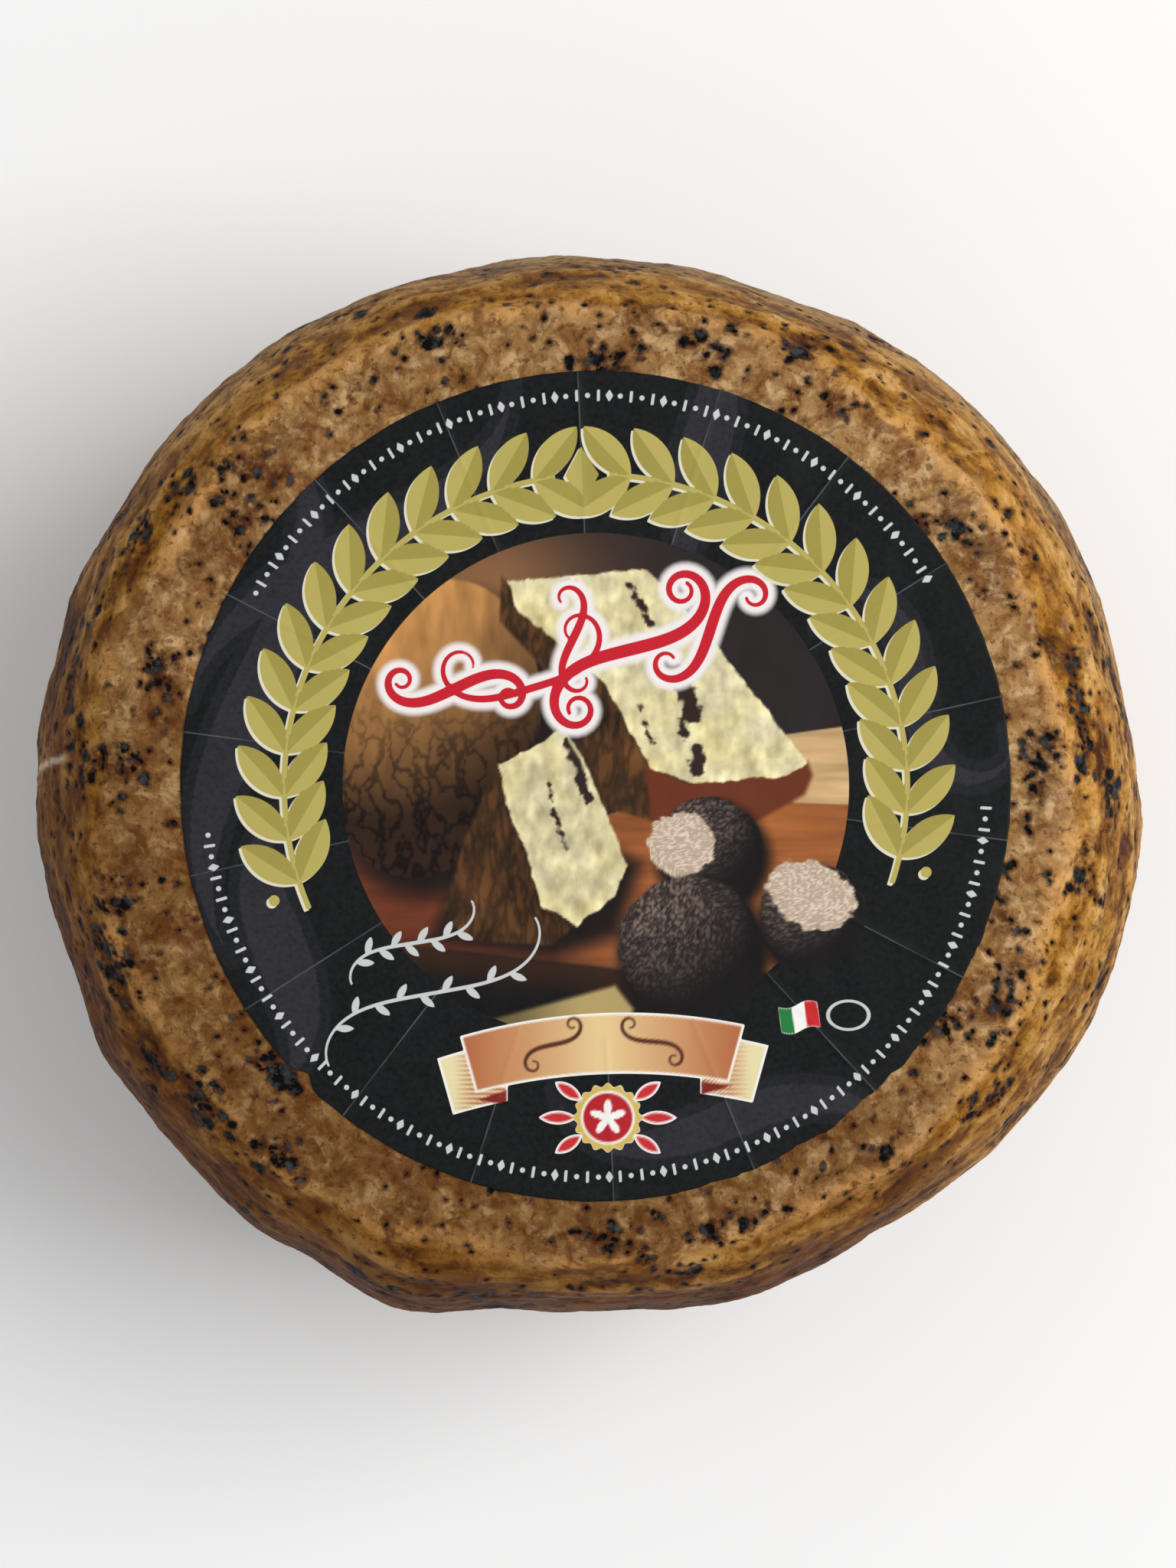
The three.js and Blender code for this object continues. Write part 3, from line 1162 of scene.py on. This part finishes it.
def label_faces(rim):
    """Quads of the upper side and of the rim's wall, and the fan of the underside."""
    index = np.arange(LABEL_GRID**2).reshape(LABEL_GRID, LABEL_GRID)
    corners = [index[:-1, :-1], index[1:, :-1], index[1:, 1:], index[:-1, 1:]]
    low = np.arange(len(rim)) + index.size
    wall = np.stack([low, np.roll(low, -1), np.roll(rim, -1), rim], axis=1)
    fan = np.stack([np.full(len(rim), low[-1] + 1), np.roll(low, -1), low], axis=1)
    return [np.concatenate([np.stack(corners, axis=2).reshape(-1, 4), wall]), fan]


def make_label(material):
    points = label_points()
    rim = rim_loop(LABEL_GRID)
    upper = label_surface(points)
    low_rim = upper[rim] - [0, 0, LABEL_HIGH[2] - WHEEL_HIGH[2] + 0.1]
    middle = [[*LABEL_CENTRE, low_rim[:, 2].mean()]]
    faces = label_faces(rim)

    flat = np.concatenate([points, points[rim] * 1.015, [[0, 0]]])
    uv = flat / (2 * LABEL_RADIUS + 8) + 0.5
    corner_uv = np.concatenate([uv[group.ravel()] for group in faces])
    places = np.concatenate([upper, low_rim, middle])
    piece = mesh_piece("paper_label_print", places, faces, corner_uv, material)

    def with_rim(values):
        return np.concatenate([values, values[rim], values[:1]])

    gold, gold_half = wreath(points)
    overlay, overlay_depth = paint_overlay(points)
    numbers = {
        "picture": picture_depth(points),
        "slit": from_slit(points),
        "gold": gold,
        "gold_half": gold_half,
        "cream": wreath(points + 0.42)[0],
        "white": white_print(points),
        "red": flourish(points),
        "swoosh": swoosh(points),
        "overlay": overlay_depth,
    }
    for name, values in numbers.items():
        keep_number(piece, name, with_rim(values))
    keep_colour(piece, "picture_ink", with_rim(linear(paint_picture(points).colour)))
    keep_colour(piece, "overlay_ink", with_rim(linear(overlay.colour)))
    return piece


def label_material():
    shader = Shader("printed_paper")

    def inside(name, soft=0.07):
        return shader.step(shader.number(name), -soft, soft)

    speckle = shader.noise(0.9, 3)
    shader.layers = shader.ramp(speckle, (0.3, 6, 9, 10), (0.7, 18, 22, 23))
    band = shader.times(shader.number("swoosh"), shader.step(speckle, 0.2, 0.7, 0.6, 1.0))
    shader.cover(band, (49, 48, 56), 0.8)

    hairline = shader.step(shader.math("ABSOLUTE", shader.number("slit")), 0.18, 0.06)
    faded = shader.step(shader.noise(9, 2), 0.3, 0.6, 0.25, 0.8)
    shader.cover(shader.times(hairline, faded), (84, 87, 92))

    gold = shader.mix(inside("gold_half", 0.12), (158, 145, 70), (180, 167, 90))
    shader.cover(inside("picture"), shader.colour("picture_ink"))
    shader.cover(shader.step(shader.number("red"), -2.0, -0.6), (236, 230, 228))
    shader.cover(inside("red"), (196, 28, 44))
    shader.cover(inside("cream"), (218, 214, 192))
    shader.cover(inside("gold"), gold)
    shader.cover(inside("white"), (198, 200, 200))
    shader.cover(inside("overlay"), shader.colour("overlay_ink"))

    shader.set(
        Base_Color=shader.layers,
        Roughness=shader.step(speckle, 0.3, 0.7, 0.42, 0.54),
        Specular_IOR_Level=0.14,
        Normal=shader.bump(shader.noise(0.5, 3), 0.03, 0.5),
    )
    return shader.material


# ---- stage, light and camera

CAMERA_HEIGHT = 900.0  # above the label
CAMERA_ASIDE = 0.2  # how far the camera stands from the wheel's middle, along Y
SENSOR_WIDTH = 36.0
VIEW_HEIGHT = 284.8  # what the picture's long side shows at the label's height
FLOOR_DROP = 0.2  # keeps the floor clear of the wheel's underside
FLOOR_RADIUS = 6.0  # metres
LAMP_PLACE = (1.9, 0.35, 2.3)  # metres, up on the right
LAMP_SIZE = 2.0  # metres
LAMP_POWER = 64.0
WORLD_STRENGTH = 0.56


def make_camera():
    data = bpy.data.cameras.new("camera")
    data.sensor_width = SENSOR_WIDTH
    data.lens = SENSOR_WIDTH * CAMERA_HEIGHT / VIEW_HEIGHT
    camera = bpy.data.objects.new("camera", data)
    camera.location = (0, CAMERA_ASIDE * MM, (LABEL_HIGH[2] + CAMERA_HEIGHT) * MM)
    bpy.context.scene.collection.objects.link(camera)
    bpy.context.scene.camera = camera


def make_floor():
    shader = Shader("floor")
    shader.set(Base_Color=(248, 248, 248), Roughness=0.9)
    place = (0, 0, -FLOOR_DROP * MM)
    bpy.ops.mesh.primitive_circle_add(vertices=96, radius=FLOOR_RADIUS, fill_type="NGON", location=place)
    floor = bpy.context.object
    floor.name = "floor"
    floor.data.materials.append(shader.material)


def make_lamp():
    """A large square lamp that faces the middle of the wheel."""
    data = bpy.data.lights.new("key", "AREA")
    data.size = LAMP_SIZE
    data.energy = LAMP_POWER
    lamp = bpy.data.objects.new("key", data)
    lamp.location = LAMP_PLACE
    aim = Vector((0, 0, WHEEL_SIZE[2] * MM / 2)) - lamp.location
    lamp.rotation_euler = aim.to_track_quat("-Z", "Y").to_euler()
    bpy.context.scene.collection.objects.link(lamp)


def make_world():
    """Soft white light from all around."""
    world = bpy.data.worlds.new("studio")
    world.use_nodes = True
    background = world.node_tree.nodes["Background"]
    background.inputs["Color"].default_value = (1, 1, 1, 1)
    background.inputs["Strength"].default_value = WORLD_STRENGTH
    bpy.context.scene.world = world
    bpy.context.scene.view_settings.view_transform = "Standard"


# ---- build

make_camera()
make_floor()
make_lamp()
make_world()

rind = make_rind(rind_material())
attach(rind, "root")
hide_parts("cheese_wheel")

label = make_label(label_material())
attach(label, "root")
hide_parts("paper_label")
